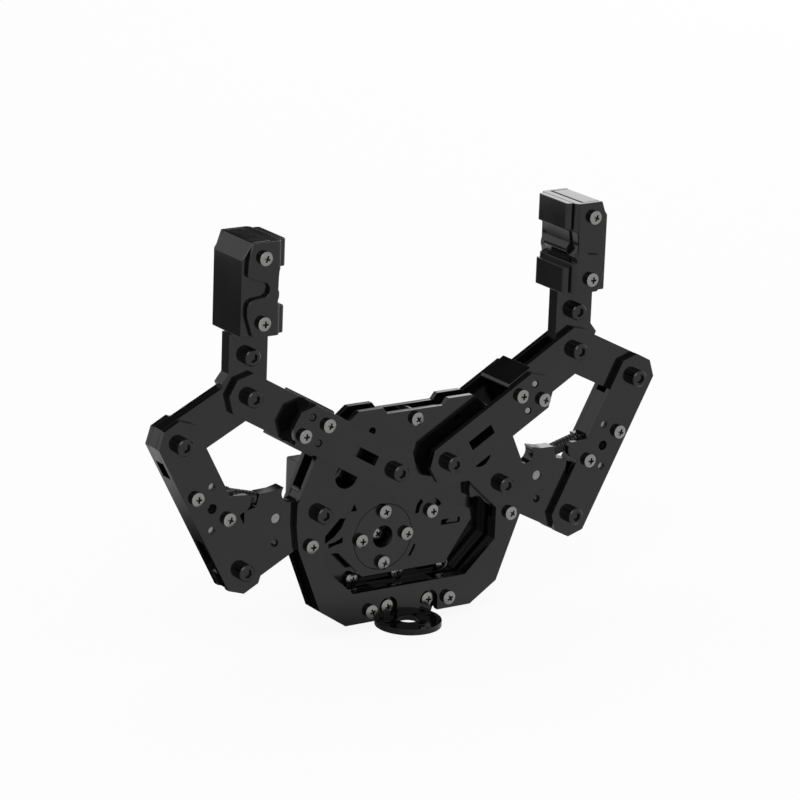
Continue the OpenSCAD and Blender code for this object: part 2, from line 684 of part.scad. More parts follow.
// Far end of the spring, and the shelf of the spacer that it rests on, in the outer link's frame
spring_end = turned(spring_seat + toward(spring_angle, spring_len) - crank_end, -outer_link_angle);
shelf_dir = toward(spring_angle + 90 - outer_link_angle, spring_r);
spring_shelf = [[spring_end[0] + 4, half_w], spring_end + [2.6, 0.4], spring_end + shelf_dir,
    spring_end - shelf_dir * 0.7, [spring_end[0] - 1.5, half_w]];
link_screws_at = [[link_hole_u, -link_hole_v], [-link_hole_u, link_hole_v]];
module outer_link_fasteners() {
    color(dark_steel) for (p = [crank_end, outer_pivot]) cap_bolt(p, 0, back_y);
    color(steel) for (q = link_screws_at) {
        p = crank_end + turned([outer_link_len / 2 + q[0], q[1]], outer_link_angle);
        pan_screw(p, 0, back_y);
    }
    color(steel) {
        p = crank_end + turned([outer_link_len / 2 - link_hole_u, -link_hole_v], outer_link_angle);
        rod(p, pin_sink, back_y - pin_sink, screw_r);
        rod(crank_pivot + crank_pin, front_y + side_gap + pin_sink, rear_y - side_gap - pin_sink,
            crank_pin_r);
    }
}
function turned(p, a) = [p[0] * cos(a) - p[1] * sin(a), p[0] * sin(a) + p[1] * cos(a)];

// Compression spring between the crank's lobe and the outer link's lobe
module spring() {
    color(dark_steel) along(spring_seat, spring_angle) translate([0, core_y, 0]) rotate([0, 90, 0])
        difference() {
            cylinder(h = spring_len, r = spring_r);
            translate([0, 0, -1]) cylinder(h = spring_len + 2, r = spring_r - spring_wire);
        }
}

// ---------- upper link ----------

module inner_link(y0) {
    color(black) difference() {
        along(upper_pivot, open_angle) difference() {
            slab(y0, plate_t) polygon(bar_points(inner_len, half_w));
            translate([17 - 6, y0 - 1, -2.1]) cube([12, plate_t + 2, 4.2]);
            for (u = [-1, 1]) for (v = [-1, 1])
                hole([block_at + u * block_screw, v * block_screw], screw_r + slip_gap);
        }
        hole(upper_pivot, bolt_r + run_gap);
    }
}
upper_from = block_at - block_len / 2 + 2;
module upper_link(y0) {
    color(black) difference() {
        along(upper_pivot, open_angle) difference() {
            slab(y0, plate_t) polygon(open_bar_points(upper_from, upper_link_len, half_w));
            for (u = [-1, 1]) for (v = [-1, 1])
                hole([block_at + u * block_screw, v * block_screw], screw_r + slip_gap);
        }
        hole(finger_pivot, bolt_r + slip_gap);
    }
}
module link_block() {
    round_r = 1.6;
    depth = 2 * link_standoff + 2 * plate_t + core_gap;
    color(black) along(upper_pivot, open_angle) difference() {
        translate([block_at - block_len / 2, inner_y, 0]) {
            translate([0, depth, 0]) rotate([90, 0, 0]) linear_extrude(depth)
                polygon(concat(
                    [for (a = [180:15:270]) [round_r, -block_half + round_r] + toward(a, round_r)],
                    [[block_len, -block_half], [block_len, block_half]],
                    [for (a = [90:15:180]) [round_r, block_half - round_r] + toward(a, round_r)]));
        }
        for (y = [0, rear_y]) translate([upper_from, y, -half_w])
            cube([block_len, plate_t, link_w]);
        for (u = [-1, 1]) for (v = [-1, 1])
            hole([block_at + u * block_screw, v * block_screw], screw_r + slip_gap);
    }
}
module upper_link_fasteners() {
    depth = 2 * link_standoff + 4 * plate_t + core_gap;
    color(dark_steel) cap_bolt(finger_pivot, 0, back_y);
    color(steel) for (q = [[block_screw, -block_screw], [-block_screw, block_screw]]) {
        p = upper_pivot + turned([block_at + q[0], q[1]], open_angle);
        pan_screw(p, inner_y - plate_t, depth);
    }
    color(dark_steel) for (s = [-1, 1]) {
        p = upper_pivot + turned([block_at + s * block_screw, s * block_screw], open_angle);
        rod(p, inner_y - plate_t + pin_sink, inner_y - plate_t + depth - pin_sink, screw_r);
    }
}
pin_sink = 0.5;       // depth of the dowel pins' ends below the faces around them

// ---------- finger ----------

// Puts a piece drawn with u and z on the finger
module on_finger() {
    translate([finger_axis, 0, finger_pivot[1]]) children();
}
module finger_plate() {
    t = core_gap - 2 * side_gap;
    color(black) difference() {
        slab(front_y + side_gap, t) {
            translate(outer_pivot) rotate(bracket_angle) polygon(bar_points(bracket_len, half_w));
            translate([finger_axis, finger_pivot[1]]) {
                polygon([[-stem_half, 0], [stem_half, -4], [stem_half, tip_z0 - free_gap],
                    [tongue_half, tip_z0 - free_gap], [tongue_half, tongue_top],
                    [-tongue_half + 1.4, tongue_top], [-tongue_half + 1.4, tip_z0 - free_gap],
                    [-stem_half, tip_z0 - free_gap]]);
                polygon([[stem_half - 1, -2], [stem_half + 3, 6], [stem_half - 1, 11]]);
            }
        }
        hole(finger_pivot, bolt_r + run_gap);
        hole(outer_pivot, bolt_r + free_gap);
        on_finger() {
            hole([0, stem_bolt_z], bolt_r + slip_gap);
            for (z = pad_screw_z) hole([0, z], screw_r + slip_gap);
        }
    }
}
tip_chamfer = [4.4, 6.4];
slit = 0.7;           // gap between the housing and the clip's wall
jaw_corner_r = 2.2;   // rounding of the clip's upright corners on the gripping side
pad_setback = 2.6;    // from the cheek's outer face to the pad's end
insert_setback = 5;
module tip_housing() {
    pocket = core_gap - 2 * side_gap;
    color(black) on_finger() difference() {
        slab(core_y - tip_d / 2, tip_d) polygon([[jaw_u1 + slit, tip_z0], [tip_w / 2, tip_z0],
            [tip_w / 2, tip_z1 - tip_chamfer[1]], [tip_w / 2 - tip_chamfer[0], tip_z1],
            [jaw_u1 + slit, tip_z1]]);
        translate([-tongue_half + 1.3, core_y - pocket / 2 - slip_gap, tip_z0 - 1])
            cube([2 * tongue_half - 1.2, pocket + 2 * slip_gap, tongue_top - tip_z0 + 1.1]);
        for (z = pad_screw_z) hole([0, z], screw_r + slip_gap);
    }
}
// Clip with two cheeks that carries the pads; its wall closes the housing's inner side
module jaw_clip() {
    half_d = tip_d / 2 + cheek_t;
    color(black) on_finger() difference() {
        intersection() {
            slab(core_y - half_d, 2 * half_d) cheek_outline();
            translate([jaw_u0, core_y, tip_z0 - 1]) linear_extrude(tip_h + 2)
                polygon(rounded_side(half_d, jaw_corner_r, tip_w));
        }
        slab(core_y - tip_d / 2, tip_d) translate([jaw_u1, tip_z0 - 1]) square([tip_w, tip_h + 2]);
        for (z = pad_screw_z) hole([0, z], screw_r + slip_gap);
        slab(core_y - half_d - 1, 2 * half_d + 2) translate([jaw_u0, insert_z0])
            polygon([[-1, 0], [1.7, 0], [1.4, 1.4], [0.7, 3], [0.7, 4.4], [1.5, 6], [1.5, 9],
                [0.9, insert_h], [-1, insert_h]]);
        translate([jaw_u0 - 1, core_y - half_d + insert_setback - slip_gap, insert_z0])
            cube([3, 2 * (half_d - insert_setback + slip_gap), insert_h]);
    }
}
// Plan of a block of half depth d, from u = 0 to w, with two corners of radius r at u = 0
function rounded_side(d, r, w) = concat([[w, -d], [w, d]],
    [for (a = [90:15:180]) [r + r * cos(a), d - r + r * sin(a)]],
    [for (a = [180:15:270]) [r + r * cos(a), -d + r + r * sin(a)]]);
insert_h = insert_z1 - insert_z0;
slot_r = 3;
module cheek_outline() {
    translate([0, tip_z0]) polygon(concat(
        [[jaw_u0, 0], [3.6, 0], [4.3, 0.6], [6.3, 6.6], [6.9, 9], [6.9, 12], [6.5, 13.5],
        [5.6, 14.6], [4.2, 15.3]],
        [for (a = [270:-15:90]) [0, slot_z - tip_z0] + toward(a, slot_r)],
        [[6, 23.9], [6.6, 24.4], [6.9, 25.2], [6.6, tip_h - tip_chamfer[1]], [4.3, tip_h],
        [jaw_u0, tip_h]]));
}
module pads() {
    color(rubber) on_finger() for (z = [tip_z0, tip_z1 - pad_h]) translate([jaw_u0 - pad_t, core_y, z])
        linear_extrude(pad_h) polygon(rounded_side(tip_d / 2 + cheek_t - pad_setback, 1.4, pad_t));
}
module grip_insert() {
    color(rubber) on_finger() slab(core_y - tip_d / 2 - cheek_t + insert_setback,
        tip_d + 2 * (cheek_t - insert_setback)) translate([jaw_u0, insert_z0])
        polygon([[2, 0], [1.2, 0], [0.8, insert_h * 0.18], [-0.9, insert_h * 0.34],
            [-0.9, insert_h * 0.46], [0.6, insert_h * 0.6], [0.3, insert_h * 0.9], [0, insert_h],
            [2, insert_h]]);
}
module finger_fasteners() {
    color(dark_steel) on_finger() cap_bolt([0, stem_bolt_z], front_y + side_gap,
        core_gap - 2 * side_gap);
    color(steel) on_finger() for (z = pad_screw_z)
        pan_screw([0, z], core_y - tip_d / 2 - cheek_t, tip_d + 2 * cheek_t);
}

// ---------- nodes ----------

front_body_plate();
rear_body_plate();
rim_spacer();
gear_cover();
plate_spacers();
body_screws();
crank_bolts();
upper_pivot_bolts();
upper_pivot_spacers();
flange_bracket();
wrist_flange();
flange_screws();
actuator_casing();
actuator_cover();
actuator_screws();
motor_can();
idler_axle();
drive_gear();
hub_screws();
output_horn();
idler_gear();
right_crank();
left_crank();
for (s = [1, -1]) {
    name = s > 0 ? "right_" : "left_";
    side(s) outer_link(0, true);
    side(s) outer_link(rear_y, false);
    side(s) outer_link_spacer();
    side(s) outer_link_fasteners();
    side(s) spring();
    side(s) inner_link(inner_y - plate_t);
    side(s) inner_link(back_y + link_standoff);
    side(s) upper_link(0);
    side(s) upper_link(rear_y);
    side(s) link_block();
    side(s) upper_link_fasteners();
    side(s) finger_plate();
    side(s) tip_housing();
    side(s) jaw_clip();
    side(s) pads();
    side(s) grip_insert();
    side(s) finger_fasteners();
}
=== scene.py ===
"""Dresses a two-finger gripper and sets it on a pale studio floor."""

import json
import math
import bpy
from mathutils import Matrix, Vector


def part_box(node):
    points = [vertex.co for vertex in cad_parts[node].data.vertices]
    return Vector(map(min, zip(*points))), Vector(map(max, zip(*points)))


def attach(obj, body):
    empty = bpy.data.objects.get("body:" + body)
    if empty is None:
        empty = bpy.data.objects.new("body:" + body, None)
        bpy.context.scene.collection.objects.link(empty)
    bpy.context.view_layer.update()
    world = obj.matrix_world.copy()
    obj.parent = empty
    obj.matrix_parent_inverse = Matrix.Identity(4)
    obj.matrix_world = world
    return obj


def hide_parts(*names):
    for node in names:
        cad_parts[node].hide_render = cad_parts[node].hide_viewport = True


bl_info = {
    "name": "Two-Finger Gripper",
    "version": (1, 0, 0),
    "blender": (4, 5, 0),
    "location": "3D View > Sidebar > Gripper",
    "description": "Finishes a gripper's plates, fasteners, springs and fingertips, and sets its stage",
    "category": "Object",
}

import bmesh
import bpy
import numpy as np
from bpy.props import FloatProperty, FloatVectorProperty, IntProperty, PointerProperty
from mathutils import Matrix, Vector

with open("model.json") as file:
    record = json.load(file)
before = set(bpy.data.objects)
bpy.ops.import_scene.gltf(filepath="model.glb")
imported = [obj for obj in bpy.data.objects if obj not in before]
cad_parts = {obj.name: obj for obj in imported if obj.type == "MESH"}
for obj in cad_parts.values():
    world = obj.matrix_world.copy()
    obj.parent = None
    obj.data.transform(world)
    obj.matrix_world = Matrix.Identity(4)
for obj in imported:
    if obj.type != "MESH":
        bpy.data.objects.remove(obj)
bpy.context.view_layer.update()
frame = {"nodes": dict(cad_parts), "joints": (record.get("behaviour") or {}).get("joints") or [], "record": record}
BODIES = frame["record"]["behaviour"]["bodies"]
MM = 0.001
SIDES = ("right", "left")


# ---------- settings ----------


class PlateSettings(bpy.types.PropertyGroup):
    """Sizes and colours of the plates and links."""

    ease: FloatProperty(
        name="Edge Ease", description="Width of the eased edges", default=0.15 * MM, min=0.0,
        unit="LENGTH")
    color: FloatVectorProperty(
        name="Colour", description="Colour of the gloss black plates", subtype="COLOR",
        default=(0.002, 0.002, 0.0022), min=0.0, max=1.0)
    roughness: FloatProperty(
        name="Roughness", description="Roughness of the gloss black plates", subtype="FACTOR",
        default=0.09, min=0.0, max=1.0)


class FastenerSettings(bpy.types.PropertyGroup):
    """Sizes and colours of the screws and bolts."""

    pan_diameter: FloatProperty(
        name="Pan Head Diameter", description="Diameter of the pan heads", default=5.6 * MM,
        unit="LENGTH")
    pan_height: FloatProperty(
        name="Pan Head Height", description="Height of the pan heads", default=2.5 * MM,
        unit="LENGTH")
    recess_length: FloatProperty(
        name="Recess Length", description="Length of the cross recess", default=2.7 * MM,
        unit="LENGTH")
    recess_width: FloatProperty(
        name="Recess Width", description="Width of the cross recess", default=0.85 * MM,
        unit="LENGTH")
    cap_diameter: FloatProperty(
        name="Cap Head Diameter", description="Diameter of the socket heads", default=7.0 * MM,
        unit="LENGTH")
    cap_height: FloatProperty(
        name="Cap Head Height", description="Height of the socket heads", default=4.0 * MM,
        unit="LENGTH")
    socket_width: FloatProperty(
        name="Socket Width", description="Width of the hexagon sockets across flats",
        default=3.5 * MM, unit="LENGTH")
    nut_width: FloatProperty(
        name="Nut Width", description="Width of the nuts across flats", default=6.9 * MM,
        unit="LENGTH")
    nut_height: FloatProperty(
        name="Nut Height", description="Height of the nuts", default=3.2 * MM, unit="LENGTH")
    seed: IntProperty(name="Seed", description="Seed of the heads' random turns", default=7, min=0)
    steel: FloatVectorProperty(
        name="Steel", description="Colour of the bright steel", subtype="COLOR",
        default=(0.33, 0.33, 0.32), min=0.0, max=1.0)


class SpringSettings(bpy.types.PropertyGroup):
    """Sizes of the compression springs."""

    wire: FloatProperty(
        name="Wire", description="Diameter of the spring wire", default=0.85 * MM, unit="LENGTH")
    turns: FloatProperty(
        name="Turns", description="Number of turns", default=11.5, min=2.0, max=16.0)


class FingertipSettings(bpy.types.PropertyGroup):
    """Sizes and colours of the fingertips."""

    ease: FloatProperty(
        name="Edge Ease", description="Width of the moulded edges' rounding", default=0.5 * MM,
        unit="LENGTH")
    rubber: FloatVectorProperty(
        name="Rubber", description="Colour of the pads", subtype="COLOR",
        default=(0.0022, 0.0022, 0.0022), min=0.0, max=1.0)


class StageSettings(bpy.types.PropertyGroup):
    """Camera, floor and lights."""

    azimuth: FloatProperty(
        name="Azimuth", description="Direction the camera looks in, from +Y towards +X",
        subtype="ANGLE", default=math.radians(33.48))
    elevation: FloatProperty(
        name="Elevation", description="Height of the camera above the horizon", subtype="ANGLE",
        default=math.radians(16.58))
    roll: FloatProperty(
        name="Roll", description="Tilt of the camera about its own axis", subtype="ANGLE",
        default=math.radians(2.14))
    distance: FloatProperty(
        name="Distance", description="Distance from the camera to the point it looks at",
        default=1.57, unit="LENGTH")
    lens: FloatProperty(
        name="Lens", description="Focal length in millimetres", default=175.9, min=10.0)
    floor_size: FloatProperty(
        name="Floor Size", description="Width of the floor", default=8.0, unit="LENGTH")
    floor_color: FloatVectorProperty(
        name="Floor", description="Colour of the floor", subtype="COLOR",
        default=(0.85, 0.85, 0.85), min=0.0, max=1.0)


# ---------- materials ----------

CLOUDS = 60.0        # slow changes in a finish, in cycles per metre
TOOL_MARKS = 1400.0  # fine marks on bare steel, in cycles per metre
RELIEF = 0.02 * MM   # height of orange peel and tool marks
NOISE_RANGE = (0.3, 0.7)       # values that the noise mostly lies between
TINT_RANGE = (0.35, 0.65)      # values between which one colour turns into the other
PLATE_PEEL = (0.012, 900.0)    # strength of the plates' orange peel, and its cycles per metre
MOULDING_PEEL = (0.03, 1500.0)
PAD_PEEL = (0.03, 1600.0)
MOULDING_DULLER = 1.2          # roughness of the mouldings, as a share of the plates'
PAD_ROUGHNESS = 0.12
STEEL_ROUGHNESS = 0.26
STEEL_MARKS = 0.1              # strength of the tool marks

# Other black finishes: colour, roughness, strength of the orange peel and its cycles per metre
COATINGS = {
    "satin_black_casing": ((0.003, 0.003, 0.003), 0.13, 0.02, 1500.0),
    "black_oxide": ((0.0015, 0.0015, 0.0015), 0.2, 0.06, 2500.0),
    "gear_black": ((0.004, 0.004, 0.0045), 0.2, 0.05, 1800.0),
    "motor_black": ((0.008, 0.008, 0.0085), 0.35, 0.12, 1200.0),
    "spring_black": ((0.003, 0.003, 0.003), 0.3, 0.05, 2500.0),
}


def new_material(name):
    """A node material with its nodes, its links and its shader."""
    mat = bpy.data.materials.new(name)
    mat.use_nodes = True
    nodes, links = mat.node_tree.nodes, mat.node_tree.links
    return mat, nodes, links, nodes["Principled BSDF"]


def joined(nodes, links, kind, inputs, **settings):
    """A shader node with its settings and inputs; a socket given for an input is linked."""
    node = nodes.new(kind)
    for key, value in settings.items():
        setattr(node, key, value)
    for key, value in inputs.items():
        if isinstance(value, bpy.types.NodeSocket):
            links.new(value, node.inputs[key])
        else:
            node.inputs[key].default_value = value
    return node


def grain(nodes, links, scale, detail=3.0):
    """Noise in the object's own space, in cycles per metre."""
    coord = nodes.new("ShaderNodeTexCoord")
    noise = joined(nodes, links, "ShaderNodeTexNoise",
                   {"Vector": coord.outputs["Object"], "Scale": scale, "Detail": detail})
    return noise.outputs["Fac"]


def spread(nodes, links, source, low, high):
    """Maps the noise's usual values to low to high."""
    start, end = NOISE_RANGE
    node = joined(nodes, links, "ShaderNodeMapRange",
                  {"Value": source, "From Min": start, "From Max": end, "To Min": low, "To Max": high})
    return node.outputs["Result"]


def tint(nodes, links, source, dark, light):
    """Blends two colours by the noise's usual values."""
    ramp = joined(nodes, links, "ShaderNodeValToRGB", {"Fac": source})
    for stop, position, color in zip(ramp.color_ramp.elements, TINT_RANGE, (dark, light)):
        stop.position = position
        stop.color = (*color, 1.0)
    return ramp.outputs["Color"]


def bump(nodes, links, source, shader, strength):
    """Turns a value into surface relief."""
    node = joined(nodes, links, "ShaderNodeBump",
                  {"Height": source, "Strength": strength, "Distance": RELIEF})
    links.new(node.outputs["Normal"], shader.inputs["Normal"])


def mixed(nodes, links, share, first, second):
    """Two shaders mixed by a share."""
    inputs = {"Fac": share, 1: first, 2: second}
    return joined(nodes, links, "ShaderNodeMixShader", inputs).outputs["Shader"]


def coated(name, color, roughness, peel, peel_scale):
    """A smooth finish with a faint orange peel and slight changes of gloss."""
    mat, nodes, links, shader = new_material(name)
    clouds = grain(nodes, links, CLOUDS)
    lighter = tuple(min(1.0, c * 1.35 + 0.0004) for c in color)
    gloss = spread(nodes, links, clouds, roughness * 0.85, roughness * 1.2)
    links.new(tint(nodes, links, clouds, color, lighter), shader.inputs["Base Color"])
    links.new(gloss, shader.inputs["Roughness"])
    bump(nodes, links, grain(nodes, links, peel_scale, 2.0), shader, peel)
    return mat


def bare_steel(name, color, roughness):
    """Bare metal with fine tool marks."""
    mat, nodes, links, shader = new_material(name)
    marks = grain(nodes, links, TOOL_MARKS, 4.0)
    darker = tuple(c * 0.8 for c in color)
    gloss = spread(nodes, links, marks, roughness * 0.8, roughness * 1.25)
    links.new(tint(nodes, links, marks, darker, color), shader.inputs["Base Color"])
    links.new(gloss, shader.inputs["Roughness"])
    shader.inputs["Metallic"].default_value = 1.0
    bump(nodes, links, marks, shader, STEEL_MARKS)
    return mat


def finishes():
    """The gripper's materials, made once."""
    if "gloss_black_plate" not in bpy.data.materials:
        scene = bpy.context.scene
        black, gloss = tuple(scene.gripper_plates.color), scene.gripper_plates.roughness
        rubber = tuple(scene.gripper_fingertips.rubber)
        coated("gloss_black_plate", black, gloss, *PLATE_PEEL)
        coated("gloss_black_moulding", black, gloss * MOULDING_DULLER, *MOULDING_PEEL)
        coated("gloss_black_pad", rubber, PAD_ROUGHNESS, *PAD_PEEL)
        for name, values in COATINGS.items():
            coated(name, *values)
        bare_steel("bright_steel", tuple(scene.gripper_fasteners.steel), STEEL_ROUGHNESS)
    return bpy.data.materials


# ---------- meshes ----------

WELD = 2e-6                        # points closer than this are one
FLAT_ANGLE = math.radians(1.0)     # faces that meet at less are one flat face
CORNER_ANGLE = math.radians(30.0)  # edges that turn by more are eased
PLATE_CREASE, GROWN_CREASE = 28.0, 34.0  # edges sharper than this, in degrees, stay crisp


def body_of(node):
    """The body that a node belongs to."""
    return next(body for body, nodes in BODIES.items() if node in nodes)


def merged(node):
    """A copy of a node's mesh with its loose triangles joined into plain faces."""
    bm = bmesh.new()
    bm.from_mesh(frame["nodes"][node].data)
    bmesh.ops.remove_doubles(bm, verts=bm.verts, dist=WELD)
    bmesh.ops.dissolve_limit(bm, angle_limit=FLAT_ANGLE, verts=bm.verts, edges=bm.edges)
    return bm


def add_piece(name, mesh, material, body, *nodes):
    """Links a finished mesh as a piece that rides on a body and stands for the frame's nodes."""
    obj = bpy.data.objects.new(name, mesh)
    bpy.context.scene.collection.objects.link(obj)
    if material:
        mesh.materials.clear()
        mesh.materials.append(finishes()[material])
    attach(obj, body)
    if nodes:
        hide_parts(*nodes)
    return obj


def applied(obj):
    """The object's mesh with its modifiers applied; the object itself is removed."""
    depsgraph = bpy.context.evaluated_depsgraph_get()
    mesh = bpy.data.meshes.new_from_object(obj.evaluated_get(depsgraph))
    old = obj.data
    bpy.data.objects.remove(obj)
    bpy.data.meshes.remove(old)
    return mesh


def smooth(mesh, angle=PLATE_CREASE):
    """Smooth shading, with edges sharper than the angle kept crisp."""
    mesh.shade_smooth()
    mesh.set_sharp_from_angle(angle=math.radians(angle))


def linked(mesh):
    """A short-lived object that carries a mesh's modifiers."""
    obj = bpy.data.objects.new("blank", mesh)
    bpy.context.scene.collection.objects.link(obj)
    return obj


def eased(node, width, material, segments=2):
    """Replaces a node by a copy whose edges are eased."""
    bm = merged(node)
    mesh = bpy.data.meshes.new(node)
    bm.to_mesh(mesh)
    bm.free()
    if "custom_normal" in mesh.attributes:
        mesh.attributes.remove(mesh.attributes["custom_normal"])
    obj = linked(mesh)
    mod = obj.modifiers.new("Ease", "BEVEL")
    mod.width = width
    mod.segments = segments
    mod.limit_method = "ANGLE"
    mod.angle_limit = CORNER_ANGLE
    mod.use_clamp_overlap = False
    mod.harden_normals = False
    mesh = applied(obj)
    smooth(mesh)
    obj = linked(mesh)
    obj.modifiers.new("Flatten", "WEIGHTED_NORMAL").keep_sharp = True
    return add_piece(node + "_finished", applied(obj), material, body_of(node), node)


def islands(node):
    """The separate solids of a node, each as an array of its points."""
    bm = merged(node)
    found, left = [], set(bm.verts)
    while left:
        stack, part = [left.pop()], []
        while stack:
            vert = stack.pop()
            part.append(tuple(vert.co))
            for edge in vert.link_edges:
                other = edge.other_vert(vert)
                if other in left:
                    left.discard(other)
                    stack.append(other)
        found.append(np.array(part))
    bm.free()
    found.sort(key=lambda p: tuple(p.mean(axis=0).round(5)))
    return found


# ---------- node trees ----------


class TreeMaker:
    """Adds sockets, nodes and links to a Geometry Nodes tree."""

    def __init__(self, name):
        self.tree = bpy.data.node_groups.new(name, "GeometryNodeTree")
        self.tree.interface.new_socket("Geometry", in_out="OUTPUT", socket_type="NodeSocketGeometry")
        self.tree.interface.new_socket("Geometry", in_out="INPUT", socket_type="NodeSocketGeometry")
        self.start = self.tree.nodes.new("NodeGroupInput")
        self.end = self.tree.nodes.new("NodeGroupOutput")

    def size(self, name, kind="NodeSocketFloat"):
        """A named input of the tree."""
        self.tree.interface.new_socket(name, in_out="INPUT", socket_type=kind)
        return self.start.outputs[name]

    def node(self, kind, outputs=0, **values):
        """A node with its properties and inputs set; At_2 means its third input, and a socket is linked."""
        item = self.tree.nodes.new(kind)
        inputs = {}
        for key, value in values.items():
            if hasattr(item, key) and not key[0].isupper():
                setattr(item, key, value)
            else:
                inputs[key.replace("_", " ")] = value
        for key, value in inputs.items():
            many = value if isinstance(value, list) else [value]
            socket = item.inputs[int(key[3:])] if key.startswith("At ") else item.inputs[key]
            for one in many:
                if isinstance(one, bpy.types.NodeSocket):
                    self.tree.links.new(one, socket)
                else:
                    socket.default_value = one
        return item.outputs[outputs]

    def math(self, operation, a, b=0.0):
        """A sum on two values."""
        return self.node("ShaderNodeMath", operation=operation, At_0=a, At_1=b)

    def vector(self, x=0.0, y=0.0, z=0.0):
        """Three values as a vector."""
        return self.node("ShaderNodeCombineXYZ", X=x, Y=y, Z=z)

    def attribute(self, name, kind="FLOAT"):
        """A named value stored on the points."""
        return self.node("GeometryNodeInputNamedAttribute", data_type=kind, Name=name)

    def disc(self, radius, height, vertices=32, z=0.0):
        """A cylinder that stands at height z."""
        solid = self.node("GeometryNodeMeshCylinder", Vertices=vertices, Radius=radius, Depth=height)
        lift = self.node("ShaderNodeMath", operation="MULTIPLY_ADD", At_0=height, At_1=0.5, At_2=z)
        return self.moved(solid, self.vector(z=lift))

    def cone(self, top, bottom, height, vertices):
        """A cone whose foot is at height 0."""
        return self.node("GeometryNodeMeshCone", Vertices=vertices, Radius_Top=top, Radius_Bottom=bottom,
                         Depth=height)

    def ball(self, radius, segments, rings):
        """A ball about the origin."""
        return self.node("GeometryNodeMeshUVSphere", Segments=segments, Rings=rings, Radius=radius)

    def share(self, value, part):
        """A part of a value."""
        return self.math("MULTIPLY", value, part)

    def moved(self, mesh, shift=(0.0, 0.0, 0.0), turn=(0.0, 0.0, 0.0), scale=(1.0, 1.0, 1.0)):
        """A mesh moved, turned and scaled."""
        return self.node("GeometryNodeTransform", Geometry=mesh, Translation=shift, Rotation=turn,
                         Scale=scale)

    def join(self, *meshes):
        """Several meshes as one."""
        return self.node("GeometryNodeJoinGeometry", Geometry=list(reversed(meshes)))

    def cut(self, mesh, *cutters):
        """A mesh less its cutters."""
        return self.node("GeometryNodeMeshBoolean", operation="DIFFERENCE", solver="EXACT",
                         Mesh_1=mesh, Mesh_2=list(cutters))

    def common(self, *meshes):
        """The space that all the meshes share."""
        return self.node("GeometryNodeMeshBoolean", operation="INTERSECT", solver="EXACT",
                         Mesh_2=list(meshes))

    def painted(self, mesh, material, chosen=True):
        """A mesh with its material, on its chosen faces."""
        return self.node("GeometryNodeSetMaterial", Geometry=mesh, Material=material, Selection=chosen)

    def placed(self, mesh, chosen, turn, scale=(1.0, 1.0, 1.0)):
        """One copy of a mesh at each chosen point."""
        return self.node("GeometryNodeInstanceOnPoints", Points=self.start.outputs["Geometry"],
                         Selection=chosen, Instance=mesh, Rotation=turn, Scale=scale)

    def finish(self, mesh):
        """Ends the tree with plain geometry."""
        real = self.node("GeometryNodeRealizeInstances", Geometry=mesh)
        self.tree.links.new(real, self.end.inputs["Geometry"])
        return self.tree


# What a point of the fastener tree grows into
DARK_PIN, PIN, PAN_SCREW, SOCKET_SCREW, SOCKET_BOLT = -2.0, -1.0, 0.0, 1.0, 2.0

# Proportions of the heads and nuts
PAN_DOME = 0.95      # dome's radius, as a share of the pan head's diameter
PAN_CROWN = 0.8      # crown's radius, as a share of the head's radius
PAN_BRIM = 0.8       # how far the brim widens below the crown, as a share of the head's height
PAN_SHADED_SIDE = 0.7   # faces whose normal rises less than this get painted shade: the head's steep side and recess walls are painted dark
BLADE_HEIGHT = 1.3   # recess cutter's height, as a share of the head's
WELL_TOP, WELL_FOOT, WELL_Z = 0.36, 0.12, 0.42  # recess's tapered middle, as shares
KNURL = 0.965        # every other corner of a socket head's side is drawn in by this
CAP_FACE = 0.86      # flat face's radius, as a share of the socket head's
SOCKET_DEPTH = 0.3   # socket's depth, as a share of its width
CORNER = 1.0 / math.sqrt(3.0)    # hexagon's corner radius over its width
NUT_BALL, NUT_FLAT = 0.68, 0.72  # ball that rounds the nut's corners, and its squash


